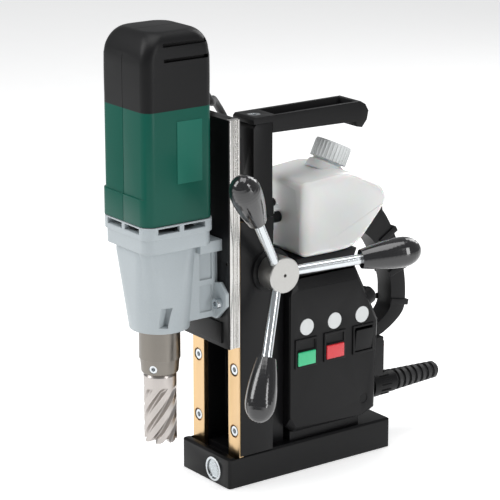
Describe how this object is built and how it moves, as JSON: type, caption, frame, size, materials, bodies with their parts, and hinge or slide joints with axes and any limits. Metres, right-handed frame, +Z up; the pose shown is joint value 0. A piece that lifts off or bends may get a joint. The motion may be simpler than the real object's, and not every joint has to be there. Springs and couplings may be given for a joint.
{
  "type": "magnetic drill press",
  "caption": "Portable magnetic core drill with a magnet foot, rack-fed drill unit, feed lever, push buttons and coolant tank.",
  "frame": {"origin": "centre of the magnet foot's lower face", "axes": "+Z up along the feed, -Y towards the drill, +X towards the feed lever and control panel"},
  "size_m": [0.1658, 0.3705, 0.457],
  "materials": {
    "black_paint": "satin black powder coat",
    "black_plastic": "fine grained black moulding",
    "steel": "machined and lightly brushed",
    "plated": "bright zinc plating",
    "brass": "machined bronze",
    "green_plastic": "satin dark green moulding",
    "grey_metal": "satin light grey paint on cast aluminium",
    "tank_plastic": "milky translucent moulding",
    "white_plastic": "white moulding",
    "button_green": "gloss green",
    "button_red": "gloss red",
    "knob": "gloss black",
    "rubber": "black rubber",
    "copper": "enamelled copper winding",
    "resin": "dark potting resin",
    "board": "green laminate",
    "lens": "clear polycarbonate",
    "hub_alu": "turned aluminium",
    "dark_steel": "browned steel",
    "cutter_steel": "ground high speed steel"
  },
  "bodies": {
    "base": {"magnet_foot": "black_paint", "magnet_coil": "copper", "magnet_potting": "resin", "lamp_ring": "plated", "lamp_lens": "lens", "column": "black_paint", "gib_strips": "brass", "gib_screws": "plated", "pinion_bushes": "brass", "carry_handle": "black_plastic", "handle_screw": "plated", "control_box": "black_plastic", "control_panel": "black_plastic", "panel_plug": "black_plastic", "switch_frames": "black_plastic", "symbol_plates": "white_plastic", "control_board": "board", "rectifier": "hub_alu", "rear_switch_frame": "black_plastic", "cable_gland": "black_plastic", "cord_boot": "rubber", "coolant_tank": "tank_plastic", "tank_bracket": "black_paint", "tank_clip": "black_plastic", "cable_guide": "black_plastic", "guide_clips": "black_plastic", "motor_cable": "rubber"},
    "carriage": {"carriage_plate": "black_paint", "slide_rails": "steel", "rack": "dark_steel", "bracket_bolts": "plated", "gearbox_housing": "grey_metal", "gearbox_ring": "grey_metal", "motor_housing": "green_plastic", "name_plate": "green_plastic", "motor_cap": "black_plastic", "cable_sleeve": "rubber", "motor_stator": "dark_steel", "brush_holders": "brass", "motor_bearings": "steel", "spindle_bearings": "steel"},
    "armature": {"armature": "copper", "motor_fan": "black_plastic"},
    "layshaft": {"counter_gear": "dark_steel"},
    "spindle": {"spindle_shaft": "steel", "tool_holder": "dark_steel", "holder_screws": "plated", "core_cutter": "cutter_steel"},
    "feed": {"feed_hub": "hub_alu", "pinion_shaft": "steel", "lever_rods": "plated", "lever_knobs": "knob"},
    "start": {"start_button": "button_green"},
    "stop": {"stop_button": "button_red"},
    "magnet_switch": {"magnet_rocker": "black_plastic"},
    "main_switch": {"main_rocker": "button_red"},
    "breaker": {"breaker_button": "black_plastic"},
    "cap": {"tank_cap": "white_plastic"},
    "tap": {"tap_lever": "white_plastic"}
  },
  "joints": [
    {"name": "carriage_feed", "type": "slide", "parent": "base", "child": "carriage", "axis": [0, 0, -1], "range_m": [0, 0.11], "deforming": ["motor_cable"]},
    {"name": "spindle_spin", "type": "hinge", "parent": "carriage", "child": "spindle", "pos_m": [0, -0.154, 0.15], "axis": [0, 0, 1], "continuous": true},
    {"name": "layshaft_spin", "type": "hinge", "parent": "carriage", "child": "layshaft", "pos_m": [0, -0.174, 0.24], "axis": [0, 0, 1], "continuous": true},
    {"name": "armature_spin", "type": "hinge", "parent": "carriage", "child": "armature", "pos_m": [0, -0.154, 0.3], "axis": [0, 0, 1], "continuous": true},
    {"name": "feed_lever", "type": "hinge", "parent": "base", "child": "feed", "pos_m": [0.054, -0.053, 0.215], "axis": [1, 0, 0], "range_deg": [0, 421]},
    {"name": "start_press", "type": "slide", "parent": "base", "child": "start", "axis": [-1, 0, 0], "range_m": [0, 0.003], "stiffness_N_per_m": 300, "springref_m": -0.001},
    {"name": "stop_press", "type": "slide", "parent": "base", "child": "stop", "axis": [-1, 0, 0], "range_m": [0, 0.003], "stiffness_N_per_m": 300, "springref_m": -0.001},
    {"name": "magnet_rock", "type": "hinge", "parent": "base", "child": "magnet_switch", "pos_m": [0.036, 0.064, 0.1232], "axis": [0, -1, 0], "range_deg": [0, 14]},
    {"name": "main_rock", "type": "hinge", "parent": "base", "child": "main_switch", "pos_m": [0.028, 0.09, 0.098], "axis": [1, 0, 0], "range_deg": [0, 14]},
    {"name": "breaker_press", "type": "slide", "parent": "base", "child": "breaker", "axis": [0, -0.8973, -0.4415], "range_m": [0, 0.003], "stiffness_N_per_m": 300, "springref_m": -0.001},
    {"name": "cap_turn", "type": "hinge", "parent": "base", "child": "cap", "pos_m": [0, 0.046, 0.296], "axis": [0, 0.4384, 0.8988], "continuous": true},
    {"name": "tap_turn", "type": "hinge", "parent": "base", "child": "tap", "pos_m": [0, -0.0205, 0.253], "axis": [0, 0, 1], "range_deg": [0, 90]}
  ],
  "couplings": [
    {"joint": "feed_lever", "follows": "carriage_feed", "rad_per_m": 66.667},
    {"joint": "layshaft_spin", "follows": "armature_spin", "ratio": -0.53846},
    {"joint": "spindle_spin", "follows": "armature_spin", "ratio": 0.32308}
  ]
}
